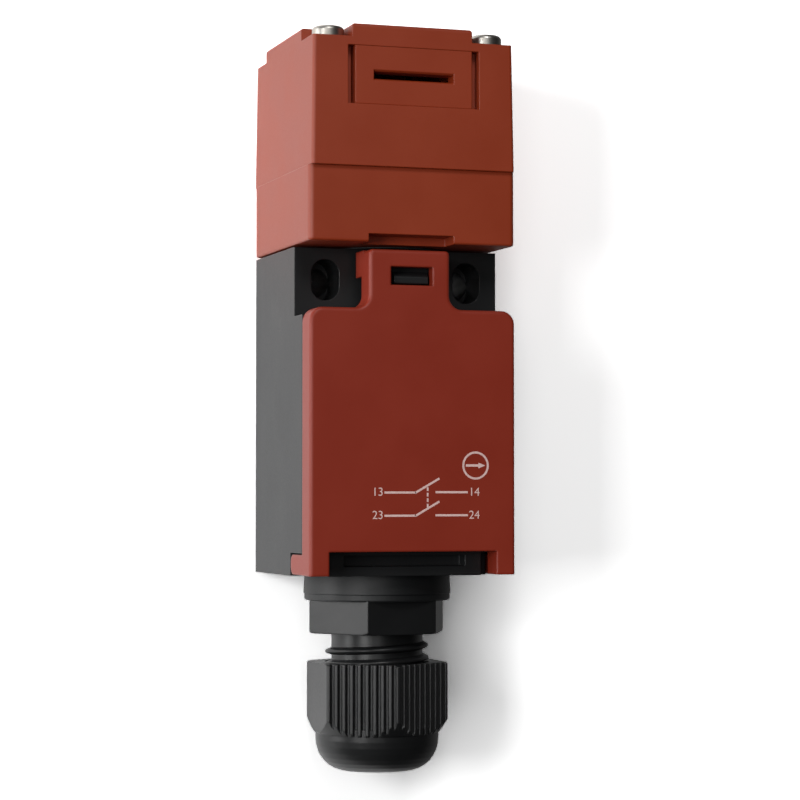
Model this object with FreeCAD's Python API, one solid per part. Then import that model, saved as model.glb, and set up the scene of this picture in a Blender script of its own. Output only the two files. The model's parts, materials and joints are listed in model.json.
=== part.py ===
"""Tongue interlock switch: moulded body with a snap cover, a turning actuator head and a cable gland.

Frame: origin midway between the two fixing holes on the flat mounting back. +X is to the right seen from
the front, the front faces -Y, and +Z runs up towards the actuator head. Lengths are in millimetres.
"""
import FreeCAD, Part
import math
import os

V = FreeCAD.Vector

# ---- driving dimensions ------------------------------------------------------------------------------
WIDTH = 31.4                 # body and cover, side to side
DEPTH = 30.4                 # mounting back to cover front
FIX_PITCH = 22.0             # fixing holes, centre to centre
FIX_R = 2.15                 # clearance hole for an M4 screw
TURRET_Y = -DEPTH / 2        # vertical axis of the head and the plunger
PLUNGER_TRAVEL = 2.5
CAM_TURN = 40.0              # degrees from key out to key home
THREAD_PITCH = 1.9           # gland nut thread
EDGE = 0.5                   # small moulded edge radius

HALF_W = WIDTH / 2
FRONT_Y = -DEPTH

# heights of the body and cover
BODY_TOP = 4.7
BODY_BOTTOM = -43.5
SHOULDER_Z = -4.6            # cover shoulder
STEP_Z = SHOULDER_Z - 0.9    # the body steps forward under the shoulder
TAB_TOP = 3.95
COVER_BOTTOM = -43.3
NOTCH_TOP = -39.85           # the cover's front wall ends here between its two feet
RIM_Y = FRONT_Y + 4.1        # parting plane of body and cover
POCKET_Y = FRONT_Y + 8.3     # recessed front face that carries the fixing holes
LIP = 1.1                    # thickness of the body's locating lip
LIP_REACH = 1.2              # how far the lip enters the cover
REST_GAP = 0.15              # between parts that only touch when pressed

# wiring chamber
BACK_WALL = 2.2
CHAMBER_HALF = 12.6
CHAMBER_TOP = -7.8
CHAMBER_FLOOR = -38.6
WELL_HALF = 11.2             # narrower well below the chamber, between the hinge sockets
WELL_FLOOR = -41.0

# cover
COVER_WALL = 1.6
COVER_FACE = 1.8
TAB_HALF = 6.15
TAB_MID = -0.6               # the tab stands a little left of the middle
TAB_WALL = 1.2
CORNER_R = 2.0
HINGE_Y = -21.9
HINGE_Z = -41.8
EAR_R = 1.45
EAR_WALL = 2.1
STUB_R = 0.9
NOTCH_HALF = 12.8

# actuator head
HEAD_BOTTOM = 5.0
SPLIT_Z = 15.95
SEAT_Z = 34.75               # screw seats in the four corners
HEAD_TOP = 36.7
# outlines as half width, front and back
BASE_OUTLINE = (15.8, -30.15, -0.25)
CAP_FOOT_OUTLINE = (15.55, -30.8, 0.95)
CAP_TOP_OUTLINE = (15.3, -30.5, 0.7)
CAP_FRONT = CAP_TOP_OUTLINE[1]
HUMP_X = (-9.4, 9.0)         # the two crossing humps on the cap
HUMP_Y = (-24.2, -4.65)
HEAD_HOLLOW = 13.3
HEAD_WALL = 1.8
SCREW_X = 12.2
SCREW_Y = (-27.45, -2.25)
AXLE_Z = 22.5
AXLE_R = 1.5
SLOT_HALF = 6.15             # key slot, half its length
SLOT_LOW, SLOT_HIGH = 28.7, 29.8
PLATE_HALF = 8.95
WINDOW_HALF = 10.05          # leaves a narrow slit either side of the slot plate
PLATE_LOW, PLATE_HIGH = 24.95, 33.5
SPIGOT_R = 6.0
RUN_GAP = 0.06               # running clearance of shafts in their holes

# contact block
BLOCK_HALF = 12.2
BLOCK_TOP, BLOCK_BOTTOM = -8.0, -34.0
BLOCK_FRONT = -22.6
DECK_BACK = -18.6
CELL_BACK = -11.6            # rear of the contact chamber
PLATE_BACK = -9.8            # rear of the closing plate
CONTACT_X = 6.6
CONTACT_LEVELS = (-11.6, -24.3)      # underside of the fixed contact strips
CONTACT_GAP = 2.6
STRIP = 0.8
TIP_H = 0.65
BRIDGE_T = 0.6
TERMINAL_X = 8.1
TERMINAL_DROP = 3.0          # terminal screw below its strip
WAIST_TOP, WAIST_BOTTOM = -17.5, -22.5
BLOCK_SCREW_X, BLOCK_SCREW_Z = 10.0, -20.0

# cable gland
GLAND_Y = -12.8
GLAND_AF = 19.0              # across flats of body hexagon and nut
BOSS_BOTTOM = -46.4
GASKET_BOTTOM = -47.05
HEX_BOTTOM = -52.35
SHANK_TOP = -40.0
SHANK_R = 7.6
NECK_R = 6.9
NECK_END = -58.0
CLAW_END = -63.5
CABLE_BORE = 5.0
NUT_TOP = -56.75
NUT_SHOULDER = -67.3
DOME_BOTTOM = -73.0
DOME_R = 9.3
HEX_TURN = 5.2               # degrees the body hexagon stands off square


# ---- shape helpers -----------------------------------------------------------------------------------
def box(x0, x1, y0, y1, z0, z1):
    return Part.makeBox(x1 - x0, y1 - y0, z1 - z0, V(x0, y0, z0))


def rod(r, start, end):
    """Round bar between two points."""
    a, b = V(*start), V(*end)
    return Part.makeCylinder(r, (b - a).Length, a, b - a)


def upright(r, z0, z1, x=0.0, y=TURRET_Y):
    return rod(r, (x, y, z0), (x, y, z1))


def through(r, y0, y1, x, z):
    return rod(r, (x, y0, z), (x, y1, z))


def join(*shapes):
    body = shapes[0]
    if len(shapes) > 1:
        body = body.fuse(list(shapes[1:]))
    return body.removeSplitter()


def both_sides(shape):
    """The shape and its mirror image across the middle plane."""
    return [shape, shape.mirror(V(0, 0, 0), V(1, 0, 0))]


def rounded_wire(corners, place):
    """Closed outline through (a, b, radius) corners; place(a, b) gives the point in space."""
    count = len(corners)
    edges = []
    last = None
    first = None
    for i in range(count):
        a, b, r = corners[i]
        here = V(a, b, 0)
        back = (V(*corners[i - 1][:2], 0) - here).normalize()
        ahead = (V(*corners[(i + 1) % count][:2], 0) - here).normalize()
        if r:
            half = back.getAngle(ahead) / 2
            reach = r / math.tan(half)
            start, end = here + back * reach, here + ahead * reach
            middle = here + (back + ahead).normalize() * (r / math.sin(half) - r)
        else:
            start = end = here
        if last is not None:
            edges.append(Part.makeLine(place(last.x, last.y), place(start.x, start.y)))
        else:
            first = start
        if r:
            arc = Part.Arc(place(start.x, start.y), place(middle.x, middle.y), place(end.x, end.y))
            edges.append(arc.toShape())
        last = end
    edges.append(Part.makeLine(place(last.x, last.y), place(first.x, first.y)))
    return Part.Wire(edges)


def slab_y(corners, y0, y1):
    """Outline drawn in X and Z, as thick as y0 to y1."""
    wire = rounded_wire(corners, lambda a, b: V(a, y0, b))
    return Part.Face(wire).extrude(V(0, y1 - y0, 0))


def slab_x(corners, x0, x1):
    """Outline drawn in Y and Z, as thick as x0 to x1."""
    wire = rounded_wire(corners, lambda a, b: V(x0, a, b))
    return Part.Face(wire).extrude(V(x1 - x0, 0, 0))


def slab_z(corners, z0, z1):
    """Outline drawn in X and Y, as thick as z0 to z1."""
    wire = rounded_wire(corners, lambda a, b: V(a, b, z0))
    return Part.Face(wire).extrude(V(0, 0, z1 - z0))


def rectangle(a0, a1, b0, b1, r=0.0):
    return [(a0, b0, r), (a1, b0, r), (a1, b1, r), (a0, b1, r)]


def turned(profile, x=0.0, y=TURRET_Y):
    """Solid of revolution about an upright axis, from (radius, height) points."""
    wire = Part.makePolygon([V(x + r, y, z) for r, z in profile + profile[:1]])
    return Part.Face(wire).revolve(V(x, y, 0), V(0, 0, 1), 360)


def hexagon(across_flats, z0, z1, turn=0.0, x=0.0, y=GLAND_Y):
    """Hexagonal prism with a flat facing the front, turned by some degrees."""
    corner = across_flats / math.sqrt(3)
    points = []
    for i in range(7):
        a = math.radians(60 * i + turn)
        points.append(V(x + corner * math.cos(a), y + corner * math.sin(a), z0))
    return Part.Face(Part.makePolygon(points)).extrude(V(0, 0, z1 - z0))


def tapered(foot, top, z0, z1):
    """Block between two rectangles, each given as half width, front and back."""
    rings = []
    for (half, front, back), z in ((foot, z0), (top, z1)):
        corners = [V(-half, front, z), V(half, front, z), V(half, back, z), V(-half, back, z)]
        rings.append(Part.makePolygon(corners + corners[:1]))
    return Part.makeLoft(rings, True, True)


def tall_edges(shape):
    """The four upright corner edges of a plain or tapered block."""
    return [e for e in shape.Edges if e.BoundBox.ZLength > 5]


def edges_where(shape, test):
    """Edges whose sampled points all pass the test."""
    found = []
    for edge in shape.Edges:
        if all(test(p) for p in edge.discretize(3)):
            found.append(edge)
    return found


def coil(radius, wire_r, z0, z1, turns, x=0.0, y=TURRET_Y):
    """Compression spring between two heights, outside radius given; the wire has eight flats."""
    mean = radius - wire_r
    height = z1 - z0 - 2 * wire_r
    path = Part.makeHelix(height / turns, height, mean)
    corners = []
    for i in range(9):
        a = math.radians(45 * i)
        corners.append(V(mean + wire_r * math.cos(a), 0, wire_r * math.sin(a)))
    spring = Part.Wire(path.Edges).makePipeShell([Part.makePolygon(corners)], True, True)
    spring.translate(V(x, y, z0 + wire_r))
    return spring


# ---- body --------------------------------------------------------------------------------------------
def fixing_holes():
    """Round bores from the back, opening into upright slots at the front for adjustment."""
    tools = []
    for x in (-FIX_PITCH / 2, FIX_PITCH / 2):
        tools.append(through(FIX_R, POCKET_Y - 1, 1, x, 0))
        slot = rectangle(x - FIX_R, x + FIX_R, -3.05, 3.05, FIX_R - 0.01)
        tools.append(slab_y(slot, POCKET_Y - 1, POCKET_Y + 6.0))
    return tools


def hinge_sockets():
    """Open corners at the foot of the body, where the cover's hinge ears sit and turn."""
    corner = box(HALF_W - EAR_WALL - 0.15, HALF_W + 1, RIM_Y - 3, HINGE_Y + EAR_R + 0.25,
                 BODY_BOTTOM - 1, HINGE_Z + EAR_R + 0.25)
    ends = box(NOTCH_HALF - 1.0, HALF_W, RIM_Y - 3, RIM_Y + 2.6, BODY_BOTTOM - 1, NOTCH_TOP - 0.25)
    pocket = rod(STUB_R + RUN_GAP, (WELL_HALF + 0.5, HINGE_Y, HINGE_Z), (HALF_W, HINGE_Y, HINGE_Z))
    return both_sides(corner) + both_sides(ends) + both_sides(pocket)


def body_shell():
    lower = box(-HALF_W, HALF_W, RIM_Y, 0, BODY_BOTTOM, STEP_Z)
    upper = box(-HALF_W, HALF_W, POCKET_Y, 0, STEP_Z - 1, BODY_TOP)
    shell = join(lower, upper)
    rounded = edges_where(shell, lambda p: abs(abs(p.x) - HALF_W) < 1e-3 and p.y > POCKET_Y + 1e-3)
    shell = shell.makeFillet(EDGE, [e for e in rounded if e.BoundBox.ZLength + e.BoundBox.YLength > 3])

    lip_outer = rectangle(-CHAMBER_HALF - LIP, CHAMBER_HALF + LIP, CHAMBER_FLOOR - LIP,
                          CHAMBER_TOP + LIP, 1.6)
    lip = slab_y(lip_outer, RIM_Y - LIP_REACH, RIM_Y + 1)
    tab_boss = box(TAB_MID - 4.6, TAB_MID + 4.6, FRONT_Y + 3.2, POCKET_Y + 1, STEP_Z, 1.9)
    latch_nose = slab_x([(FRONT_Y + 3.4, -0.9, 0), (FRONT_Y + 3.4, 0.9, 0), (FRONT_Y + 2.0, 0.9, 0.3),
                         (FRONT_Y + 1.2, 0.1, 0.2), (FRONT_Y + 1.2, -0.9, 0.2)], -2.6, 2.6)
    conduit_boss = turned([(0, BODY_BOTTOM + 1), (11.0, BODY_BOTTOM + 1), (11.0, BODY_BOTTOM),
                           (11.15, BOSS_BOTTOM), (0, BOSS_BOTTOM)], y=GLAND_Y)
    shell = join(shell, lip, tab_boss, latch_nose, conduit_boss)

    chamber = slab_y(rectangle(-CHAMBER_HALF, CHAMBER_HALF, CHAMBER_FLOOR, CHAMBER_TOP, 1.0),
                     RIM_Y - 5, -BACK_WALL)
    well = box(-WELL_HALF, WELL_HALF, POCKET_Y, -BACK_WALL, WELL_FLOOR, CHAMBER_FLOOR + 1)
    clip_space = upright(7.1, CHAMBER_TOP - 1, 1.5)
    spigot_hole = upright(SPIGOT_R + RUN_GAP, 1, BODY_TOP + 1)
    conduit = upright(SHANK_R + 0.05, BOSS_BOTTOM - 1, WELL_FLOOR + 1, y=GLAND_Y)
    foot_slot = box(-9.3, 9.3, RIM_Y - 1, RIM_Y + 2.4, -42.1, -40.5)
    shell = shell.cut([chamber, well, clip_space, spigot_hole, conduit, foot_slot])
    shell = shell.cut(fixing_holes() + hinge_sockets())

    posts = []
    for x in (-BLOCK_SCREW_X, BLOCK_SCREW_X):
        post = through(2.3, PLATE_BACK, -BACK_WALL + 1, x, BLOCK_SCREW_Z)
        rib = box(x - 0.5, x + 0.5, PLATE_BACK, -BACK_WALL + 1, BLOCK_BOTTOM + 2, BLOCK_TOP - 2)
        pilot = through(1.35, PLATE_BACK - 1, -BACK_WALL - 0.6, x, BLOCK_SCREW_Z)
        posts.append(join(post, rib).cut(pilot))
    return join(shell, *posts)


def turret_seal():
    return turned([(6.7, BODY_TOP), (9.6, BODY_TOP), (9.6, HEAD_BOTTOM - 0.1), (6.7, HEAD_BOTTOM - 0.1)])


# ---- cover -------------------------------------------------------------------------------------------
def cover_outline(inset, tab_inset):
    """Front view of the cover: two feet, a broad field and the narrow tab on top."""
    side, left, right = HALF_W - inset, TAB_MID - TAB_HALF + tab_inset, TAB_MID + TAB_HALF - tab_inset
    low, high, crown = COVER_BOTTOM, SHOULDER_Z - inset, TAB_TOP - tab_inset
    outer, inner = CORNER_R - min(inset, 1.2), CORNER_R + inset / 2
    return [(-side, low, 0), (side, low, 0), (side, high, outer), (right, high, inner),
            (right, crown, 0.6), (left, crown, 0.6), (left, high, inner), (-side, high, outer)]


def cover():
    back_y = RIM_Y - REST_GAP
    solid = slab_y(cover_outline(0, 0), FRONT_Y, back_y)
    front_edges = edges_where(solid, lambda p: p.y < FRONT_Y + 1e-3 and p.z > COVER_BOTTOM + 1e-3)
    solid = solid.makeFillet(EDGE, front_edges)
    hollow = slab_y(cover_outline(COVER_WALL, TAB_WALL), FRONT_Y + COVER_FACE, back_y + 1)
    hollow = hollow.cut(box(-HALF_W, HALF_W, FRONT_Y, 0, COVER_BOTTOM - 1, NOTCH_TOP))
    foot_space = box(-NOTCH_HALF, NOTCH_HALF, FRONT_Y - 1, back_y + 1, COVER_BOTTOM - 1, NOTCH_TOP)
    window = box(-3.5, 2.9, FRONT_Y - 1, FRONT_Y + COVER_FACE + 1, -1.2, 1.5)
    shell = solid.cut([hollow, foot_space, window])

    cheeks = both_sides(box(TAB_HALF - TAB_WALL, TAB_HALF, back_y - 1, FRONT_Y + 6.7, 0.2, TAB_TOP))
    for cheek in cheeks:
        cheek.translate(V(TAB_MID, 0, 0))
    ear_front, ear_back = back_y - 0.5, HINGE_Y + EAR_R
    ear = slab_x([(ear_front, HINGE_Z - EAR_R, 0), (ear_back, HINGE_Z - EAR_R, EAR_R - 0.2),
                  (ear_back, HINGE_Z + EAR_R, EAR_R - 0.2), (ear_front, HINGE_Z + EAR_R, 0)],
                 HALF_W - EAR_WALL, HALF_W)
    stub = rod(STUB_R, (HALF_W - EAR_WALL - 1.3, HINGE_Y, HINGE_Z), (HALF_W - 1, HINGE_Y, HINGE_Z))
    return join(shell, *cheeks, *both_sides(ear), *both_sides(stub))


def cover_gasket():
    """Flat sealing frame inside the cover, which the body's lip presses on."""
    outer = rectangle(-CHAMBER_HALF - LIP, CHAMBER_HALF + LIP, CHAMBER_FLOOR - LIP, CHAMBER_TOP + LIP, 1.6)
    inner = rectangle(-CHAMBER_HALF + 0.3, CHAMBER_HALF - 0.3, CHAMBER_FLOOR + 0.3, CHAMBER_TOP - 0.3, 1.0)
    y0, y1 = FRONT_Y + COVER_FACE, RIM_Y - LIP_REACH - REST_GAP
    return slab_y(outer, y0, y1).cut(slab_y(inner, y0 - 1, y1 + 1))


# ---- contact block -----------------------------------------------------------------------------------
def contact_housing():
    block = slab_y(rectangle(-BLOCK_HALF, BLOCK_HALF, BLOCK_BOTTOM, BLOCK_TOP, 0.8), BLOCK_FRONT, CELL_BACK)
    cell = box(-9.6, 9.6, DECK_BACK, CELL_BACK + 1, BLOCK_BOTTOM + 1.6, BLOCK_TOP - 1.8)
    for waist in both_sides(box(8.2, 10, DECK_BACK, CELL_BACK + 1, WAIST_BOTTOM, WAIST_TOP)):
        cell = cell.cut(waist)
    tools = [cell, upright(2.68, BLOCK_TOP - 3, BLOCK_TOP + 1)]
    for level in CONTACT_LEVELS:
        low = level - 5.9
        pocket = box(4.2, BLOCK_HALF + 1, BLOCK_FRONT - 1, BLOCK_FRONT + 2.0, low, low + 7.7)
        strip_slot = box(4.7, 9.5, BLOCK_FRONT + 1, DECK_BACK + 1, level - 0.05, level + STRIP + 0.05)
        screw_well = through(1.7, BLOCK_FRONT, BLOCK_FRONT + 3.7, TERMINAL_X, level - TERMINAL_DROP)
        for tool in (pocket, strip_slot, screw_well):
            tools += both_sides(tool)
    tools.append(box(-1.6, 1.6, BLOCK_FRONT - 1, DECK_BACK + 1, -29.5, -12.5))
    tools.append(box(-3.4, 3.4, BLOCK_FRONT - 1, BLOCK_FRONT + 0.8, -32.4, -9.6))
    for x in (-BLOCK_SCREW_X, BLOCK_SCREW_X):
        tools.append(through(1.6, BLOCK_FRONT - 1, 0, x, BLOCK_SCREW_Z))
    return block.cut(tools)


def contact_lid():
    """Clear strip in the middle of the block, through which the slider can be seen."""
    return slab_y(rectangle(-3.3, 3.3, -32.3, -9.7, 0.4), BLOCK_FRONT - 0.1, BLOCK_FRONT + 0.8)


def contact_backplate():
    plate = slab_y(rectangle(-BLOCK_HALF, BLOCK_HALF, BLOCK_BOTTOM, BLOCK_TOP, 0.8), CELL_BACK, PLATE_BACK)
    holes = [through(1.6, CELL_BACK - 1, 0, x, BLOCK_SCREW_Z) for x in (-BLOCK_SCREW_X, BLOCK_SCREW_X)]
    return plate.cut(holes)


def fixed_contacts():
    """Four angle strips: a flat leg over the moving bridge and an upright leg under the terminal screw."""
    strips = []
    for level in CONTACT_LEVELS:
        flat = box(4.8, 9.4, BLOCK_FRONT + 1.3, TURRET_Y + 1.9, level, level + STRIP)
        leg = box(4.8, 11.6, BLOCK_FRONT + 1.2, BLOCK_FRONT + 2.0, level - 5.6, level + STRIP)
        hole = through(1.55, BLOCK_FRONT, DECK_BACK, TERMINAL_X, level - TERMINAL_DROP)
        strips += both_sides(join(flat, leg).cut(hole))
    return Part.makeCompound(strips)


def fixed_tips():
    tips = []
    for level in CONTACT_LEVELS:
        tips += both_sides(upright(1.2, level - TIP_H, level, x=CONTACT_X))
    return Part.makeCompound(tips)


def terminal_clamps():
    """Square clamping washers with turned-down sides that keep a wire under the screw."""
    clamps = []
    for level in CONTACT_LEVELS:
        z = level - TERMINAL_DROP
        y = BLOCK_FRONT + 1.2
        plate = slab_y(rectangle(TERMINAL_X - 3.1, TERMINAL_X + 3.1, z - 2.6, z + 2.6, 0.5), y - 1.0, y - 0.1)
        groove = box(TERMINAL_X - 4, TERMINAL_X + 4, y - 0.4, y + 1, z - 1.9, z + 1.9)
        hole = through(1.6, y - 3, y + 1, TERMINAL_X, z)
        clamps += both_sides(plate.cut([groove, hole]))
    return Part.makeCompound(clamps)


def cheese_screw(x, z, head_r, seat_y, head_h, shank_r, end_y):
    """Screw pointing to the back: domed head with a cross-shaped drive and a plain shank."""
    head = through(head_r, seat_y - head_h, seat_y, x, z)
    rim = edges_where(head, lambda p: p.y < seat_y - head_h + 1e-3)
    head = head.makeFillet(head_h * 0.35, rim)
    shank = through(shank_r, seat_y - 0.1, end_y, x, z)
    slot = box(x - head_r * 0.66, x + head_r * 0.66, seat_y - head_h - 1, seat_y - head_h * 0.4,
               z - 0.32, z + 0.32)
    cross = box(x - 0.32, x + 0.32, seat_y - head_h - 1, seat_y - head_h * 0.4,
                z - head_r * 0.66, z + head_r * 0.66)
    return join(head, shank).cut([slot, cross])


def terminal_screws():
    screws = []
    seat = BLOCK_FRONT + 0.2
    for level in CONTACT_LEVELS:
        for x in (-TERMINAL_X, TERMINAL_X):
            screws.append(cheese_screw(x, level - TERMINAL_DROP, 2.7, seat, 1.8, 1.5, seat + 3.3))
    return Part.makeCompound(screws)


def block_screws():
    return Part.makeCompound([cheese_screw(x, BLOCK_SCREW_Z, 2.3, BLOCK_FRONT, 1.4, 1.3, -4.5)
                              for x in (-BLOCK_SCREW_X, BLOCK_SCREW_X)])


def bridge_level(level):
    """Top of a bridge strip when the contacts are apart."""
    return level - TIP_H - CONTACT_GAP - TIP_H


def contact_carrier():
    """Insulating slider: a stem on top and two windows, each holding a bridge and its spring."""
    top = bridge_level(CONTACT_LEVELS[0]) + 2.4
    bottom = bridge_level(CONTACT_LEVELS[1]) - 3.9
    frame = box(-2.4, 2.4, TURRET_Y - 3.1, TURRET_Y + 3.1, bottom, top)
    stem = upright(2.6, top - 0.5, -7.45)
    windows = []
    for level in CONTACT_LEVELS:
        z = bridge_level(level)
        windows.append(box(-3, 3, TURRET_Y - 2.1, TURRET_Y + 2.1, z - 2.8, z))
    socket = upright(1.25, -10.0, -7)
    return join(frame, stem).cut(windows + [socket])


def contact_bridges():
    strips = []
    for level in CONTACT_LEVELS:
        z = bridge_level(level)
        strips.append(slab_z(rectangle(-8.0, 8.0, TURRET_Y - 2.0, TURRET_Y + 2.0, 0.6), z - BRIDGE_T, z))
    return Part.makeCompound(strips)


def bridge_tips():
    tips = []
    for level in CONTACT_LEVELS:
        z = bridge_level(level)
        tips += both_sides(upright(1.2, z, z + TIP_H, x=CONTACT_X))
    return Part.makeCompound(tips)


def bridge_springs():
    springs = []
    for level in CONTACT_LEVELS:
        z = bridge_level(level) - BRIDGE_T
        springs.append(coil(1.8, 0.25, z - 2.18, z - 0.02, 3))
    return Part.makeCompound(springs)


# ---- plunger -----------------------------------------------------------------------------------------
TIP_R = 1.6                  # rounded end that the cam runs on
TIP_TOP = 15.2
COLLAR_Z = 10.4


def plunger():
    body = turned([(0, -9.8), (1.2, -9.8), (1.2, -7.45), (2.2, -7.45), (2.2, COLLAR_Z), (3.6, COLLAR_Z),
                   (3.6, COLLAR_Z + 1.0), (TIP_R, COLLAR_Z + 1.6), (TIP_R, TIP_TOP - TIP_R),
                   (0, TIP_TOP - TIP_R)])
    dome = Part.makeSphere(TIP_R, V(0, TURRET_Y, TIP_TOP - TIP_R))
    return join(body, dome)


def return_spring():
    return coil(3.4, 0.35, HEAD_BOTTOM + 2.55, COLLAR_Z - 0.05, 3)


# ---- actuator head -----------------------------------------------------------------------------------
def corner_points():
    return [(x, y) for x in (-SCREW_X, SCREW_X) for y in SCREW_Y]


def head_base():
    """Tray with screw columns, axle pegs and the round spigot that turns in the body."""
    tray = tapered(BASE_OUTLINE, BASE_OUTLINE, HEAD_BOTTOM, SPLIT_Z)
    tray = tray.makeFillet(0.8, tall_edges(tray))
    tray = tray.makeFillet(0.35, edges_where(tray, lambda p: p.z < HEAD_BOTTOM + 1e-3))
    spigot = upright(SPIGOT_R, -0.3, HEAD_BOTTOM + 1)
    tray = join(tray, spigot)

    half = HEAD_HOLLOW
    hollow = box(-half, half, TURRET_Y - half, TURRET_Y + half, HEAD_BOTTOM + 2.5, SPLIT_Z + 1)
    for x, y in corner_points():
        reach = 3.0
        hollow = hollow.cut(box(x - reach, x + reach, y - reach, y + reach, HEAD_BOTTOM, SPLIT_Z + 1))
    tools = [hollow, upright(4.2, -1, 3.2), upright(2.2 + RUN_GAP, 0, HEAD_BOTTOM + 3)]
    groove = turned([(5.0, 0.45), (7.0, 0.45), (7.0, 1.45), (5.0, 1.45)])
    front_cut = box(-6.8, 6.25, CAP_FRONT - 1, CAP_FRONT + 4.2, HEAD_BOTTOM - 1, HEAD_BOTTOM + 1.2)
    tools += [groove, front_cut]
    tools += [upright(1.35, 9.0, SPLIT_Z + 1, x, y) for x, y in corner_points()]
    tray = tray.cut(tools)
    pegs = both_sides(box(8.4, 9.7, TURRET_Y - 1.4, TURRET_Y + 1.4, HEAD_BOTTOM + 2, AXLE_Z - AXLE_R))
    return join(tray, *pegs)


def head_cap():
    """Tapered cap with a cross-shaped hump, open below, with slotted ribs that carry the axle."""
    half, y0, y1 = CAP_TOP_OUTLINE
    block = tapered(CAP_FOOT_OUTLINE, CAP_TOP_OUTLINE, SPLIT_Z, SEAT_Z)
    block = block.makeFillet(EDGE, tall_edges(block))
    cross = join(box(*HUMP_X, y0, y1, SEAT_Z - 1, HEAD_TOP), box(-half, half, *HUMP_Y, SEAT_Z - 1, HEAD_TOP))
    cross = cross.makeFillet(EDGE, edges_where(cross, lambda p: p.z > HEAD_TOP - 1e-3))
    cap = join(block, cross)

    ceiling = SEAT_Z - 0.25
    arm_x = box(-8.2, 8.2, y0 + HEAD_WALL, TURRET_Y + HEAD_HOLLOW, SPLIT_Z - 1, ceiling)
    arm_y = box(-HEAD_HOLLOW, HEAD_HOLLOW, HUMP_Y[0] + 0.8, HUMP_Y[1] - 0.8, SPLIT_Z - 1, ceiling)
    plate_flange = box(-PLATE_HALF - 0.1, PLATE_HALF + 0.1, y0 + HEAD_WALL - 0.1, y0 + HEAD_WALL + 1.0,
                       PLATE_LOW - 1.0, ceiling)
    window = box(-WINDOW_HALF, WINDOW_HALF, y0 - 1, y0 + HEAD_WALL, PLATE_LOW, PLATE_HIGH)
    top_slot = box(-SLOT_HALF, SLOT_HALF, TURRET_Y + 6.05, TURRET_Y + 7.15, ceiling - 1, HEAD_TOP + 1)
    tools = [arm_x, arm_y, plate_flange, window, top_slot]
    tools += [upright(1.6, SPLIT_Z - 1, SEAT_Z + 1, x, y) for x, y in corner_points()]
    cap = cap.cut(tools)

    rib = box(8.3, 9.8, TURRET_Y - 4.0, TURRET_Y + 4.0, SPLIT_Z, ceiling + 0.5)
    rib = rib.cut([box(8, 10, TURRET_Y - AXLE_R - 0.02, TURRET_Y + AXLE_R + 0.02, SPLIT_Z - 1, AXLE_Z),
                   rod(AXLE_R + 0.02, (8, TURRET_Y, AXLE_Z), (10, TURRET_Y, AXLE_Z))])
    return join(cap, *both_sides(rib))


def key_slot_plate():
    """Insert in the front of the cap: a flush field with the key slot, and a flange behind the wall."""
    y0 = CAP_FRONT
    field = box(-PLATE_HALF, PLATE_HALF, y0, y0 + HEAD_WALL, PLATE_LOW + 0.04, PLATE_HIGH - 0.04)
    flange = box(-PLATE_HALF, PLATE_HALF, y0 + HEAD_WALL, y0 + HEAD_WALL + 0.9,
                 PLATE_LOW - 0.9, PLATE_HIGH + 0.8)
    slot = box(-SLOT_HALF, SLOT_HALF, y0 - 1, y0 + HEAD_WALL + 2, SLOT_LOW, SLOT_HIGH)
    lead_in = slab_x([(y0 - 0.01, SLOT_LOW - 0.25, 0), (y0 - 0.01, SLOT_HIGH + 0.25, 0),
                      (y0 + 0.3, SLOT_HIGH, 0), (y0 + 0.3, SLOT_LOW, 0)], -SLOT_HALF, SLOT_HALF)
    return join(field, flange).cut([slot, lead_in])


def head_screws():
    """Four pan-head screws that hold cap and base together."""
    screws = []
    for x, y in corner_points():
        head = upright(2.35, SEAT_Z, SEAT_Z + 1.65, x, y)
        head = head.makeFillet(0.6, edges_where(head, lambda p: p.z > SEAT_Z + 1.65 - 1e-3))
        shank = upright(1.3, 9.2, SEAT_Z + 0.1, x, y)
        cross = [box(x - 1.4, x + 1.4, y - 0.3, y + 0.3, SEAT_Z + 0.7, SEAT_Z + 3),
                 box(x - 0.3, x + 0.3, y - 1.4, y + 1.4, SEAT_Z + 0.7, SEAT_Z + 3)]
        screws.append(join(head, shank).cut(cross))
    return Part.makeCompound(screws)


def rotor_axle():
    return rod(AXLE_R, (-9.75, TURRET_Y, AXLE_Z), (9.75, TURRET_Y, AXLE_Z))


def turret_clip():
    """Open spring-steel ring under the body's roof that keeps the head on."""
    ring = turned([(5.05, 0.6), (6.8, 0.6), (6.8, 1.3), (5.05, 1.3)])
    mouth = box(-3.2, 3.2, TURRET_Y, TURRET_Y + 8, 0, 2)
    return ring.cut(mouth)


def plunger_seal():
    return turned([(2.2 + RUN_GAP, 0.9), (4.2, 0.9), (4.2, 3.1), (3.1, 3.1), (2.9, 2.2), (2.2 + RUN_GAP, 1.6)])


# ---- rotor -------------------------------------------------------------------------------------------
HUB_R = 4.5
WEB_ROOT_R = 3.9              # the web between cam and teeth, just inside the hub
TOOTH_R = 7.0
CAM_R = AXLE_Z - TIP_TOP - 0.1       # cam radius over the rounded plunger end, key out
CAM_STEPS = 12


def cam_arc():
    """Points of the lifting curve, from under the axle towards the back.

    The centre of the plunger's rounded end keeps a distance from the axle that falls evenly with the
    angle, so the surface is that path moved inward by the end's radius and a small gap.
    """
    fall = PLUNGER_TRAVEL / math.radians(CAM_TURN)
    points = []
    for i in range(CAM_STEPS + 1):
        a = math.radians(CAM_TURN + 6) * i / CAM_STEPS
        centre = CAM_R + 0.1 + TIP_R - fall * a
        slope = math.atan2(-fall, centre)
        inward = TIP_R + 0.1
        y = centre * math.sin(a) - inward * math.sin(a - slope)
        z = -centre * math.cos(a) + inward * math.cos(a - slope)
        points.append((y, z))
    return points


def polar(radius, degrees):
    """Point at an angle from straight down, turning towards the back."""
    a = math.radians(degrees)
    return (radius * math.sin(a), -radius * math.cos(a))


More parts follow.
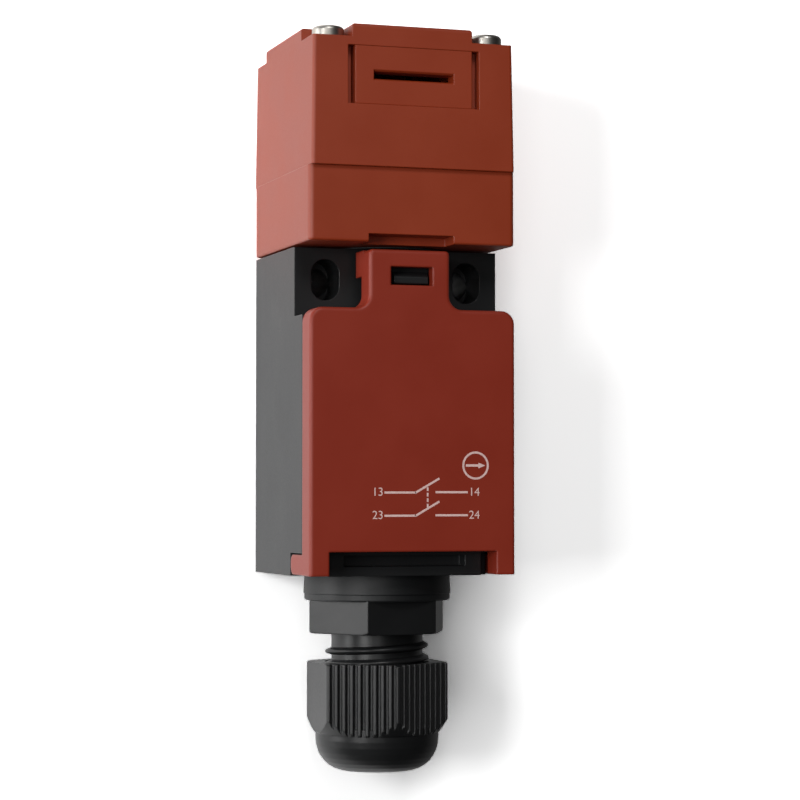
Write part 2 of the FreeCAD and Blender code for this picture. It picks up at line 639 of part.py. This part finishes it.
def arc_points(radius, start, end, steps):
    return [polar(radius, start + (end - start) * i / steps) for i in range(steps + 1)]


def tongue_rotor():
    """Two end discs, a hub, and a middle web: lifting cam below, teeth for the key's tongue above."""
    web_outline = cam_arc()
    web_outline += arc_points(WEB_ROOT_R, CAM_TURN + 12, 92, 3)
    web_outline += arc_points(TOOTH_R, 95, 125, 4)
    web_outline += arc_points(WEB_ROOT_R, 128, 147, 2)
    web_outline += arc_points(TOOTH_R, 150, 185, 4)
    web_outline += arc_points(WEB_ROOT_R, 186, 300, 8)
    web_outline += arc_points(CAM_R, 322, 354, 4)
    points = [V(-2.4, TURRET_Y + y, AXLE_Z + z) for y, z in web_outline]
    web = Part.Face(Part.makePolygon(points + points[:1])).extrude(V(4.8, 0, 0))
    hub = rod(HUB_R, (-7.8, TURRET_Y, AXLE_Z), (7.8, TURRET_Y, AXLE_Z))
    discs = both_sides(rod(7.3, (6.4, TURRET_Y, AXLE_Z), (7.8, TURRET_Y, AXLE_Z)))
    bore = rod(AXLE_R + RUN_GAP, (-9, TURRET_Y, AXLE_Z), (9, TURRET_Y, AXLE_Z))
    return join(web, hub, *discs).cut(bore)


# ---- cable gland -------------------------------------------------------------------------------------
def conduit_gasket():
    return turned([(SHANK_R + 0.1, GASKET_BOTTOM), (10.5, GASKET_BOTTOM), (10.5, BOSS_BOTTOM),
                   (SHANK_R + 0.1, BOSS_BOTTOM)], y=GLAND_Y)


def gland_body():
    """Screwed shank, hexagon, plain neck and a crown of claws that the nut closes on the seal."""
    shank = upright(SHANK_R, GASKET_BOTTOM - 1, SHANK_TOP, y=GLAND_Y)
    corner = GLAND_AF / math.sqrt(3)
    chamfer = turned([(0, HEX_BOTTOM), (corner - 0.5, HEX_BOTTOM), (corner + 0.1, HEX_BOTTOM + 0.4),
                      (corner + 0.1, GASKET_BOTTOM), (0, GASKET_BOTTOM)], y=GLAND_Y)
    hexa = hexagon(GLAND_AF, HEX_BOTTOM, GASKET_BOTTOM, HEX_TURN).common(chamfer)
    neck = turned([(0, HEX_BOTTOM + 1), (NECK_R, HEX_BOTTOM + 1), (NECK_R, NECK_END),
                   (NECK_R - 0.9, CLAW_END), (0, CLAW_END)], y=GLAND_Y)
    slots = []
    for i in range(4):
        slot = box(-NECK_R - 1, NECK_R + 1, -0.45, 0.45, CLAW_END - 1, NECK_END - 0.5)
        slot.rotate(V(0, 0, 0), V(0, 0, 1), 45 * i)
        slot.translate(V(0, GLAND_Y, 0))
        slots.append(slot)
    bore = upright(CABLE_BORE, CLAW_END - 1, SHANK_TOP + 1, y=GLAND_Y)
    return join(shank, hexa, neck).cut(slots + [bore])


def gland_seal():
    """Rubber sleeve that the nut presses round the cable."""
    return turned([(4.0, -67.1), (4.9, -67.1), (4.9, -55.0), (4.0, -55.0)], y=GLAND_Y)


def nut_outline():
    """Hexagon with a corner to the front; the two side flats are plain and the other four are ribbed."""
    rib_pitch, groove_depth, ribs = 1.17, 0.45, 9
    apothem = GLAND_AF / 2
    points = []
    for flat in range(6):
        direction = math.radians(60 * flat)
        normal = V(math.cos(direction), math.sin(direction), 0)
        along = V(-math.sin(direction), math.cos(direction), 0)
        half = apothem / math.sqrt(3)
        points.append(normal * apothem - along * (half - 0.25))
        if flat % 3:
            for i in range(ribs):
                middle = (i - (ribs - 1) / 2) * rib_pitch
                for offset, depth in ((-0.36, 0), (-0.16, groove_depth), (0.16, groove_depth), (0.36, 0)):
                    points.append(normal * (apothem - depth) + along * (middle + offset))
        points.append(normal * apothem + along * (half - 0.25))
    return points


def gland_nut():
    points = [p + V(0, GLAND_Y, NUT_SHOULDER) for p in nut_outline()]
    prism = Part.Face(Part.makePolygon(points + points[:1])).extrude(V(0, 0, NUT_TOP - NUT_SHOULDER))
    corner = GLAND_AF / math.sqrt(3)
    envelope = turned([(0, NUT_SHOULDER), (9.45, NUT_SHOULDER), (corner + 0.1, NUT_SHOULDER + 2.4),
                       (corner + 0.1, NUT_TOP - 0.4), (corner - 0.5, NUT_TOP), (0, NUT_TOP)], y=GLAND_Y)
    prism = prism.common(envelope)
    dome = [(0, NUT_SHOULDER + 1), (DOME_R, NUT_SHOULDER + 1), (DOME_R, NUT_SHOULDER - 0.9)]
    height, run = NUT_SHOULDER - 0.9 - DOME_BOTTOM, DOME_R - 4.9
    for i in range(1, 9):
        a = math.radians(90 * i / 8)
        dome.append((DOME_R - run * (1 - math.cos(a)), NUT_SHOULDER - 0.9 - height * math.sin(a)))
    dome.append((0, DOME_BOTTOM))
    inside = turned([(0, NUT_TOP + 1), (8.0, NUT_TOP + 1), (8.0, -62.0), (6.3, -66.8), (6.3, NUT_SHOULDER),
                     (4.4, NUT_SHOULDER), (4.4, DOME_BOTTOM + 0.6), (4.8, DOME_BOTTOM - 0.01),
                     (0, DOME_BOTTOM - 0.01)], y=GLAND_Y)
    return join(prism, turned(dome, y=GLAND_Y)).cut(inside)


NODES = {
    "body_shell": body_shell, "turret_seal": turret_seal, "cover": cover, "cover_gasket": cover_gasket,
    "contact_housing": contact_housing, "contact_lid": contact_lid,
    "contact_backplate": contact_backplate, "fixed_contacts": fixed_contacts, "fixed_tips": fixed_tips,
    "terminal_clamps": terminal_clamps, "terminal_screws": terminal_screws,
    "block_screws": block_screws, "contact_carrier": contact_carrier,
    "contact_bridges": contact_bridges, "bridge_tips": bridge_tips, "bridge_springs": bridge_springs,
    "plunger": plunger, "return_spring": return_spring, "head_base": head_base, "head_cap": head_cap,
    "key_slot_plate": key_slot_plate, "head_screws": head_screws, "rotor_axle": rotor_axle,
    "turret_clip": turret_clip, "plunger_seal": plunger_seal, "tongue_rotor": tongue_rotor,
    "conduit_gasket": conduit_gasket, "gland_body": gland_body, "gland_seal": gland_seal,
    "gland_nut": gland_nut,
}


def main():
    os.makedirs("parts", exist_ok=True)
    for name, build in NODES.items():
        build().exportStep(f"parts/{name}.step")


main()
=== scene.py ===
"""Looks of a tongue interlock switch: moulded plastics, rubber, metals, the return spring's wire, the
gland's thread and rim, a plain contact diagram with its terminal numbers, and a white studio.

Everything stands in the CAD's own frame: metres, +Z up, the cover towards -Y. Lengths are written in
millimetres and scaled by MM.
"""
import json
import math

import bmesh
import bpy
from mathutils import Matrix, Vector


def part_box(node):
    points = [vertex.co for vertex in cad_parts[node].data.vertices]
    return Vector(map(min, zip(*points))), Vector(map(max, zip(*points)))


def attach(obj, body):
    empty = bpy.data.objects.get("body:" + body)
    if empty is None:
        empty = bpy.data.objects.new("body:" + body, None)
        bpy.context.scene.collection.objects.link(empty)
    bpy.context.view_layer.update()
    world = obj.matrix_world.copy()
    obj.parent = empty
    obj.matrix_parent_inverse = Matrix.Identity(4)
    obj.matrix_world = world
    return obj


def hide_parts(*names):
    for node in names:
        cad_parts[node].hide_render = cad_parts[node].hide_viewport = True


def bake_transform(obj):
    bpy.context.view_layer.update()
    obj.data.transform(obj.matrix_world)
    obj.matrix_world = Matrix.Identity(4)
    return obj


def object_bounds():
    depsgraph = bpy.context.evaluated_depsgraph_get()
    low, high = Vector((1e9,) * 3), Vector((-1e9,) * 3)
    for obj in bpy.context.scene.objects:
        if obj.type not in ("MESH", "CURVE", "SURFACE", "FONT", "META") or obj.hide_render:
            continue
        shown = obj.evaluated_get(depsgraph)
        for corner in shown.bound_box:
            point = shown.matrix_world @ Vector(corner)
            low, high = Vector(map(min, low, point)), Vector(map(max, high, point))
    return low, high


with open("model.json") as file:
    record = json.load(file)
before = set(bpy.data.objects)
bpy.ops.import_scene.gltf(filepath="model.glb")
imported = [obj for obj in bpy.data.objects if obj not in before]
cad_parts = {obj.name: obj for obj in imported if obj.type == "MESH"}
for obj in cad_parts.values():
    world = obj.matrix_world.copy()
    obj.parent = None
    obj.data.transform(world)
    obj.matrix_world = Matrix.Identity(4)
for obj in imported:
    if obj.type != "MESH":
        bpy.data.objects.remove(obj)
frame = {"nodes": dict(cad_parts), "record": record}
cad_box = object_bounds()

MM = 0.001
NODES = frame["nodes"]


# ---- material building -------------------------------------------------------------------------------
class Signal:
    """An output socket of a finish; arithmetic on it adds Math nodes."""

    def __init__(self, finish, socket):
        self.finish = finish
        self.socket = socket

    def math(self, operation, *operands):
        node = self.finish.add("ShaderNodeMath", {"operation": operation}, dict(enumerate(operands)))
        return self.finish.out(node)

    def __add__(self, other):
        return self.math("ADD", self, other)

    def __radd__(self, other):
        return self.math("ADD", other, self)

    def __sub__(self, other):
        return self.math("SUBTRACT", self, other)

    def __rsub__(self, other):
        return self.math("SUBTRACT", other, self)

    def __mul__(self, other):
        return self.math("MULTIPLY", self, other)

    def __rmul__(self, other):
        return self.math("MULTIPLY", other, self)

    def smooth(self, low, high):
        """0 below low, 1 above high, and a soft step between."""
        node = self.finish.add("ShaderNodeMapRange", {"interpolation_type": "SMOOTHSTEP"},
                               {"Value": self, "From Min": low, "From Max": high})
        return self.finish.out(node, "Result")


class Finish:
    """A material, or the world, with its node tree."""

    def __init__(self, owner):
        self.owner = owner
        owner.use_nodes = True
        self.tree = owner.node_tree
        self.tree.nodes.clear()

    def add(self, kind, settings=None, inputs=None):
        """New node: settings go on the node first, then values or links on its sockets."""
        node = self.tree.nodes.new(kind)
        for name, value in (settings or {}).items():
            setattr(node, name, value)
        for name, value in (inputs or {}).items():
            if isinstance(value, Signal):
                self.tree.links.new(value.socket, node.inputs[name])
            else:
                node.inputs[name].default_value = value
        return node

    def out(self, node, name=0):
        return Signal(self, node.outputs[name])

    def place(self, output="Object"):
        return self.out(self.add("ShaderNodeTexCoord"), output)

    def noise(self, scale, detail=2.0, roughness=0.5, stretch=None):
        """Noise of a feature size in millimetres, centred on 0.5."""
        where = self.place()
        if stretch:
            where = self.out(self.add("ShaderNodeMapping", None, {"Vector": where, "Scale": stretch}))
        node = self.add("ShaderNodeTexNoise", None, {"Vector": where, "Scale": 1 / (scale * MM),
                                                     "Detail": detail, "Roughness": roughness})
        return self.out(node, "Fac")

    def blend_colours(self, share, first, second):
        node = self.add("ShaderNodeMix", {"data_type": "RGBA"},
                        {"Factor": share, 6: opaque(first), 7: opaque(second)})
        return self.out(node, 2)

    def soft_edges(self, radius):
        """Normal that rounds the edges by a radius in millimetres."""
        return self.out(self.add("ShaderNodeBevel", {"samples": 6}, {"Radius": radius * MM}))

    def edge_share(self, rounded):
        """0 on flats, towards 1 along rounded edges."""
        plain = self.out(self.add("ShaderNodeNewGeometry"), "Normal")
        dot = self.add("ShaderNodeVectorMath", {"operation": "DOT_PRODUCT"}, {0: rounded, 1: plain})
        return (1 - self.out(dot, "Value")).smooth(0.01, 0.12)

    def bump(self, height, depth, normal=None):
        """Relief of a depth in millimetres."""
        inputs = {"Height": height, "Distance": depth * MM, "Strength": 1.0}
        if normal:
            inputs["Normal"] = normal
        return self.out(self.add("ShaderNodeBump", None, inputs))

    def surface(self, shader, kind="ShaderNodeOutputMaterial"):
        self.add(kind, None, {"Surface": shader})
        return self.owner


def opaque(colour):
    return colour if isinstance(colour, Signal) else (*colour, 1.0)


def new_finish(name):
    return Finish(bpy.data.materials.new(name))


def principled(finish, inputs):
    return finish.surface(finish.out(finish.add("ShaderNodeBsdfPrincipled", None, inputs)))


def moulding(name, colour, pale, roughness, gloss=0.5, grain=0.22, grain_depth=0.006, edge=0.2):
    """Injection-moulded plastic: spark-eroded grain, faint flow clouds, and slightly polished edges with a
    painted highlight.
    """
    cloud_size, wave_size, wave_depth, edge_polish = 9.0, 4.0, 0.02, 0.14
    finish = new_finish(name)
    rounded = finish.soft_edges(edge)
    edges = finish.edge_share(rounded)
    clouds = finish.noise(cloud_size, 3.0)
    grains = finish.noise(grain, 2.0, 0.6)
    waves = finish.noise(wave_size, 1.0)
    # the clouds are random tone; the base also turns paler along rounded edges, which is a painted edge
    # highlight
    base = finish.blend_colours(clouds.smooth(0.25, 0.75) * 0.7 + edges * 0.3, colour, pale)
    rough = roughness + (grains - 0.5) * 0.12 + (clouds - 0.5) * 0.08 - edges * edge_polish
    relief = finish.bump(waves, wave_depth, rounded)
    relief = finish.bump(grains, grain_depth, relief)
    return principled(finish, {"Base Color": base, "Roughness": rough, "Normal": relief,
                               "IOR": 1.5, "Specular IOR Level": gloss})


def rubber(name):
    """Matt black rubber with a trace of talc."""
    bare, dusty = (0.012, 0.012, 0.012), (0.035, 0.035, 0.034)
    finish = new_finish(name)
    dust = finish.noise(0.8, 4.0, 0.65)
    base = finish.blend_colours(dust.smooth(0.45, 0.8), bare, dusty)
    relief = finish.bump(finish.noise(0.15), 0.008, finish.soft_edges(0.15))
    return principled(finish, {"Base Color": base, "Roughness": 0.72 + (dust - 0.5) * 0.15,
                               "Normal": relief, "IOR": 1.5})


def metal(name, colour, stain, roughness, scratch=(1, 1, 1)):
    """Plated or drawn metal: patchy tone, fine scratches, and edges rubbed free of the stain."""
    finish = new_finish(name)
    rounded = finish.soft_edges(0.08)
    edges = finish.edge_share(rounded)
    patches = finish.noise(1.6, 3.0)
    lines = finish.noise(0.12, 3.0, 0.6, scratch)
    base = finish.blend_colours(patches.smooth(0.35, 0.75) * (1 - edges), colour, stain)
    rough = roughness + (patches - 0.5) * 0.16 + (lines - 0.5) * 0.14
    relief = finish.bump(lines, 0.003, rounded)
    return principled(finish, {"Base Color": base, "Roughness": rough, "Metallic": 1.0, "Normal": relief})


def clear_plastic(name):
    """Clear polycarbonate with hairline scratches."""
    finish = new_finish(name)
    hairs = finish.noise(0.3, 4.0, 0.7, (1, 1, 0.08))
    relief = finish.bump(hairs, 0.002, finish.soft_edges(0.15))
    return principled(finish, {"Base Color": (0.90, 0.94, 0.95, 1.0), "Transmission Weight": 1.0,
                               "Roughness": 0.06 + hairs.smooth(0.5, 0.8) * 0.12, "IOR": 1.45,
                               "Normal": relief})


def print_ink(name, full, thinned):
    """Pad-printed ink, a little thin where it sits on the grain."""
    finish = new_finish(name)
    thin = finish.noise(0.25, 3.0).smooth(0.35, 0.75)
    base = finish.blend_colours(thin, full, thinned)
    return principled(finish, {"Base Color": base, "Roughness": 0.5 + thin * 0.1, "IOR": 1.5,
                               "Normal": finish.bump(thin, 0.004)})


FINISHES = {
    "black_plastic": moulding("black_plastic", (0.009, 0.0098, 0.0105), (0.014, 0.015, 0.016), 0.46, 0.43),
    "red_plastic": moulding("red_plastic", (0.33, 0.037, 0.006), (0.365, 0.045, 0.009), 0.46, 0.62),
    "black_nylon": moulding("black_nylon", (0.010, 0.0105, 0.011), (0.014, 0.0145, 0.015), 0.34, 0.42,
                            grain=0.4, grain_depth=0.004, edge=0.3),
    "grey_plastic": moulding("grey_plastic", (0.29, 0.30, 0.31), (0.34, 0.35, 0.36), 0.5),
    "white_plastic": moulding("white_plastic", (0.70, 0.69, 0.64), (0.78, 0.77, 0.72), 0.42),
    "clear_plastic": clear_plastic("clear_plastic"),
    "rubber": rubber("rubber"),
    "brass": metal("brass", (0.80, 0.56, 0.24), (0.62, 0.42, 0.20), 0.26, (1, 0.1, 1)),
    "silver": metal("silver", (0.86, 0.85, 0.82), (0.70, 0.68, 0.62), 0.3),
    "zinc_steel": metal("zinc_steel", (0.56, 0.54, 0.50), (0.42, 0.39, 0.34), 0.38),
    "spring_steel": metal("spring_steel", (0.56, 0.56, 0.57), (0.44, 0.43, 0.42), 0.24),
}
COVER_RED = moulding("cover_red", (0.295, 0.026, 0.009), (0.33, 0.032, 0.012), 0.46, 0.5, edge=0.45)
COVER_INK = print_ink("cover_ink", (0.97, 0.70, 0.66), (0.84, 0.56, 0.52))
BLOCK_INK = print_ink("block_ink", (0.85, 0.85, 0.83), (0.70, 0.70, 0.68))

for part in frame["record"]["subparts"]:
    skin = NODES[part["node"]].data.materials
    skin.clear()
    skin.append(COVER_RED if part["node"] == "cover" else FINISHES[part["material_slot"]])


# ---- mesh building -----------------------------------------------------------------------------------
def finished(name, shape, finish, body, smooth=True):
    """Turns a bmesh into a piece with the given finish, which rides on the body where one is given."""
    bmesh.ops.recalc_face_normals(shape, faces=shape.faces)
    for face in shape.faces:
        face.smooth = smooth
    mesh = bpy.data.meshes.new(name)
    shape.to_mesh(mesh)
    shape.free()
    mesh.materials.append(finish)
    piece = bpy.data.objects.new(name, mesh)
    bpy.context.scene.collection.objects.link(piece)
    if body:
        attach(piece, body)
    return piece


def loft(rings):
    """Tube through rings of as many points each, with its two ends closed."""
    shape = bmesh.new()
    rows = [[shape.verts.new(p) for p in ring] for ring in rings]
    count = len(rows[0])
    for low, high in zip(rows, rows[1:]):
        for i in range(count):
            j = (i + 1) % count
            shape.faces.new((low[i], low[j], high[j], high[i]))
    shape.faces.new(rows[0])
    shape.faces.new(rows[-1])
    return shape


def helix_rings(axis, turns, start_angle, height, section, steps=40):
    """Rings of a wound bar, steps to a turn.

    For each share of its length, height gives its level and section its outline as (radius, rise) pairs.
    """
    rings = []
    count = round(abs(turns) * steps)
    for i in range(count + 1):
        share = i / count
        a = start_angle + 2 * math.pi * turns * share
        out = Vector((math.cos(a), math.sin(a), 0))
        centre = Vector((axis[0], axis[1], height(share)))
        rings.append([centre + out * r + Vector((0, 0, h)) for r, h in section(share)])
    return rings


# ---- return spring -----------------------------------------------------------------------------------
def return_spring():
    """Coil of round wire with ground ends, in the space of its CAD node."""
    wire, turns, sides, held_end = 0.35 * MM, 3, 12, 0.3 * MM
    low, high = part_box("return_spring")
    axis = ((low.x + high.x) / 2, (low.y + high.y) / 2)
    mean = (high.x - low.x) / 2 - wire
    bottom, top = low.z + wire, high.z - wire

    def level(share):
        return bottom + (top - bottom) * share

    def section(share):
        outline = []
        for k in range(sides):
            a = 2 * math.pi * k / sides
            ground = max(low.z + wire * 0.3, min(high.z - wire * 0.3, level(share) + wire * math.sin(a)))
            outline.append((mean + wire * math.cos(a), ground - level(share)))
        return outline

    coil = finished("return_spring_wire", loft(helix_rings(axis, turns, 0.0, level, section)),
                    FINISHES["spring_steel"], None)
    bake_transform(coil)
    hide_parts("return_spring")


return_spring()


# ---- cable gland -------------------------------------------------------------------------------------
def gland_thread():
    """Rounded thread on the gland's neck, fading in under the hexagon."""
    gland_low, gland_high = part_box("gland_body")
    nut_low, nut_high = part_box("gland_nut")
    axis = ((gland_low.x + gland_high.x) / 2, (nut_low.y + nut_high.y) / 2)
    pitch, root, crest = 1.9 * MM, 6.8 * MM, 7.85 * MM
    half_foot, shoulder_share, crest_share, fade_turns = 0.62 * MM, 0.62, 0.28, 0.3
    top, bottom = -53.75 * MM, -57.9 * MM
    turns = (top - bottom) / pitch
    # a right-hand thread that crosses the right side at 54.15 mm under the fixing holes
    start = 2 * math.pi * (top + 54.15 * MM) / pitch

    def section(share):
        fade = min(1.0, share * turns / fade_turns, (1 - share) * turns / fade_turns)
        reach = root + (crest - root) * fade
        shoulder = root + (reach - root) * 0.6
        outline = [(root, half_foot), (shoulder, half_foot * shoulder_share),
                   (reach, half_foot * crest_share)]
        return outline + [(radius, -rise) for radius, rise in reversed(outline)]

    rings = helix_rings(axis, -turns, start, lambda share: top + (bottom - top) * share, section, 48)
    finished("gland_thread", loft(rings), FINISHES["black_nylon"], "housing")


gland_thread()


def gland_collar():
    """Moulded rim that carries the conduit boss down over the gasket and the top of the hexagon."""
    low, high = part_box("conduit_gasket")
    axis = Vector(((low.x + high.x) / 2, (low.y + high.y) / 2, 0))
    outer, inner, chamfer, steps = 11.0 * MM, 10.3 * MM, 0.2 * MM, 96
    bottom = low.z - 0.4 * MM
    profile = [(inner, high.z), (outer, high.z), (outer, bottom + chamfer),
               (outer - chamfer, bottom), (inner, bottom)]
    shape = bmesh.new()
    rows = []
    for i in range(steps):
        a = 2 * math.pi * i / steps
        out = Vector((math.cos(a), math.sin(a), 0))
        rows.append([shape.verts.new(axis + out * r + Vector((0, 0, z))) for r, z in profile])
    for i in range(steps):
        for j in range(len(profile)):
            k = (j + 1) % len(profile)
            shape.faces.new((rows[i][j], rows[i][k], rows[(i + 1) % steps][k], rows[(i + 1) % steps][j]))
    finished("gland_collar", shape, FINISHES["black_plastic"], "housing", smooth=False)


gland_collar()


# ---- plain contact diagram on the cover --------------------------------------------------------------
COVER_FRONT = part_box("cover")[0].y
INK_BACK = COVER_FRONT + 0.01 * MM
INK_FRONT = COVER_FRONT - 0.012 * MM
STROKE = 0.31 * MM


def patch(shape, rim):
    """Flat patch of ink inside a rim of (x, z) points in metres."""
    back = [shape.verts.new((p[0], INK_BACK, p[1])) for p in rim]
    front = [shape.verts.new((p[0], INK_FRONT, p[1])) for p in rim]
    shape.faces.new(front)
    for i in range(len(rim)):
        j = (i + 1) % len(rim)
        shape.faces.new((back[i], back[j], front[j], front[i]))


def stroke(shape, start, end, width=STROKE):
    """Bar of ink between two (x, z) points in millimetres."""
    a, b = Vector(start) * MM, Vector(end) * MM
    along = (b - a).normalized()
    side = Vector((-along.y, along.x)) * width / 2
    patch(shape, [a + side, a - side, b - side, b + side])


def ring(shape, centre, radius, width=STROKE, steps=48):
    for i in range(steps):
        ends = []
        for k in (i, i + 1):
            a = 2 * math.pi * k / steps
            ends.append((centre[0] + radius * math.cos(a), centre[1] + radius * math.sin(a)))
        stroke(shape, *ends, width)


def label(name, words, x, z, height, facing_y, body, finish):
    """Thin printed number, centred on a point of a surface that faces the front."""
    capital_share, half_thickness = 0.7, 0.01 * MM
    curve = bpy.data.curves.new(name, "FONT")
    curve.body = words
    curve.size = height * MM / capital_share
    curve.extrude = half_thickness
    curve.align_x = "CENTER"
    curve.align_y = "CENTER"
    curve.materials.append(finish)
    text = bpy.data.objects.new(name, curve)
    text.location = (x * MM, facing_y, z * MM)
    text.rotation_euler = (math.pi / 2, 0, 0)
    bpy.context.scene.collection.objects.link(text)
    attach(text, body)


DIAGRAM_ROWS = (-31.3, -34.65)
DIAGRAM_NUMBERS_X = (-5.5, 9.3)


def contact_diagram():
    """Two normally open contacts on one slider, an arrow in a circle, and plain terminal numbers."""
    shape = bmesh.new()
    for z in DIAGRAM_ROWS:
        lead, blade, stub = (-4.5, 0.3), ((0.2, z - 0.05), (3.9, z + 2.05)), (3.3, 8.3)
        stroke(shape, (lead[0], z), (lead[1], z))
        stroke(shape, *blade)
        stroke(shape, (stub[0], z + 0.05), (stub[1], z + 0.05))

    slider_x, dashes, gap = 2.1, 4, 0.5
    top, bottom = DIAGRAM_ROWS[0] + 0.75, DIAGRAM_ROWS[1] + 1.2
    dash = (top - bottom) / (dashes + (dashes - 1) * gap)
    for i in range(dashes):
        z = top - i * dash * (1 + gap)
        stroke(shape, (slider_x, z), (slider_x, z - dash), STROKE * 0.85)

    x, z = 9.5, -27.35
    ring(shape, (x, z), 1.9)
    tail, barb, tip, half_barb = x - 1.5, x + 0.45, x + 1.5, 0.42
    stroke(shape, (tail, z), (barb, z), STROKE * 1.15)
    patch(shape, [(tip * MM, z * MM), (barb * MM, (z + half_barb) * MM), (barb * MM, (z - half_barb) * MM)])
    finished("contact_diagram", shape, COVER_INK, "cover", smooth=False)

    for row, z in enumerate(DIAGRAM_ROWS):
        for side, x in enumerate(DIAGRAM_NUMBERS_X):
            words = f"{row + 1}{side + 3}"
            label(f"diagram_number_{words}", words, x, z + 0.05, 1.2, INK_FRONT, "cover", COVER_INK)


contact_diagram()


def terminal_numbers():
    """The same numbers beside the terminal screws, on the front of the contact block."""
    rows, sides = (-19.0, -31.6), (-5.6, 5.6)
    ink_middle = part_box("contact_housing")[0].y - 0.005 * MM
    for row, z in enumerate(rows):
        for side, x in enumerate(sides):
            words = f"{row + 1}{side + 3}"
            label(f"terminal_number_{words}", words, x, z, 1.3, ink_middle, "housing", BLOCK_INK)


terminal_numbers()


# ---- studio ------------------------------------------------------------------------------------------
def wall():
    """White wall just behind the mounting back, seen only from its front.

    The camera sees three coats of white in it. Reflections see two, on a strip behind the switch and to its
    left, so that the gland's right side stays dark. Every other ray passes through.
    """
    reach, gap = 300 * MM, 0.5 * MM
    white = (0.94, 0.94, 0.94, 1.0)
    finish = new_finish("studio_wall")
    rays = finish.add("ShaderNodeLightPath")
    across = finish.out(finish.add("ShaderNodeSeparateXYZ", None, {0: finish.place()}), "X")
    strip = across.smooth(-90 * MM, -60 * MM) * (1 - across.smooth(0.0, 20 * MM))
    mirrored = finish.out(rays, "Is Glossy Ray") * strip
    seen = mirrored.math("MAXIMUM", mirrored, finish.out(rays, "Is Camera Ray"))
    seen = seen.math("MAXIMUM", seen, finish.out(rays, "Is Transmission Ray"))
    front = 1 - finish.out(finish.add("ShaderNodeNewGeometry"), "Backfacing")
    coat = finish.out(finish.add("ShaderNodeBsdfDiffuse", None, {"Color": white}))
    two_coats = finish.out(finish.add("ShaderNodeAddShader", None, {0: coat, 1: coat}))
    three_coats = finish.out(finish.add("ShaderNodeAddShader", None, {0: two_coats, 1: coat}))
    lit = finish.out(finish.add("ShaderNodeMixShader", None, {0: mirrored, 1: three_coats, 2: two_coats}))
    clear = finish.out(finish.add("ShaderNodeBsdfTransparent"))
    finish.surface(finish.out(finish.add("ShaderNodeMixShader", None, {0: seen * front, 1: clear, 2: lit})))

    shape = bmesh.new()
    y = cad_box[1].y + gap
    corners = [(-reach, y, -reach), (reach, y, -reach), (reach, y, reach), (-reach, y, reach)]
    shape.faces.new([shape.verts.new(p) for p in corners])
    mesh = bpy.data.meshes.new("studio_wall")
    shape.to_mesh(mesh)
    shape.free()
    mesh.materials.append(finish.owner)
    panel = bpy.data.objects.new("studio_wall", mesh)
    bpy.context.scene.collection.objects.link(panel)


def sky():
    """White for the camera; for the object a dim fill, stronger from the left and from behind.

    Reflections on the right see less of it, as if a dark flag stood there.
    """
    base_fill, left_fill, back_fill, right_dimming = 0.04, 0.08, 0.50, 0.75
    world = bpy.data.worlds.new("studio")
    bpy.context.scene.world = world
    finish = Finish(world)
    direction = finish.add("ShaderNodeSeparateXYZ", None, {0: finish.place("Generated")})
    rays = finish.add("ShaderNodeLightPath")
    left = 1 - finish.out(direction, "X").smooth(-0.9, 0.5)
    back = finish.out(direction, "Y").smooth(-0.15, 0.4)
    right_mirrored = finish.out(direction, "X").smooth(0.0, 0.3) * finish.out(rays, "Is Glossy Ray")
    level = (base_fill + left * left_fill + back * back_fill) * (1 - right_mirrored * right_dimming)
    seen = finish.out(rays, "Is Camera Ray")
    strength = seen + (1 - seen) * level
    light = finish.add("ShaderNodeBackground", None, {"Color": (1, 1, 1, 1), "Strength": strength})
    finish.surface(finish.out(light), "ShaderNodeOutputWorld")


def softbox(name, direction, size, level):
    """Square lamp aimed at the switch; level is the brightness it gives a white card facing it."""
    distance = 0.6
    centre = (cad_box[0] + cad_box[1]) / 2
    towards = Vector(direction).normalized()
    lamp = bpy.data.lights.new(name, "AREA")
    lamp.shape = "SQUARE"
    lamp.size = size
    lamp.energy = level * (math.pi * distance) ** 2
    holder = bpy.data.objects.new(name, lamp)
    holder.location = centre + towards * distance
    holder.rotation_euler = towards.to_track_quat("Z", "Y").to_euler()
    bpy.context.scene.collection.objects.link(holder)


def camera():
    """Long lens, to the left of the switch and a little below its middle, looking slightly up."""
    lens = bpy.data.cameras.new("camera")
    lens.sensor_width = 36.0
    lens.lens = 110.95
    lens.clip_start, lens.clip_end = 0.01, 10.0
    turn, rise = math.radians(18.27), math.radians(2.207)
    ahead = Vector((math.sin(turn) * math.cos(rise), math.cos(turn) * math.cos(rise), math.sin(rise)))
    eye = bpy.data.objects.new("camera", lens)
    eye.location = (-0.11400, -0.36926, -0.03166)
    eye.rotation_mode = "QUATERNION"
    eye.rotation_quaternion = ahead.to_track_quat("-Z", "Y")
    bpy.context.scene.collection.objects.link(eye)
    bpy.context.scene.camera = eye


wall()
sky()
softbox("front_light", (-0.30, -0.95, 0.05), size=0.20, level=0.07)
softbox("key_light", (-0.75, -0.66, 0.06), size=0.22, level=0.37)
softbox("side_light", (-0.99, 0.12, 0.08), size=0.30, level=0.37)
softbox("top_light", (-0.12, -0.72, 0.60), size=0.20, level=0.27)
camera()
bpy.context.scene.view_settings.view_transform = "Standard"
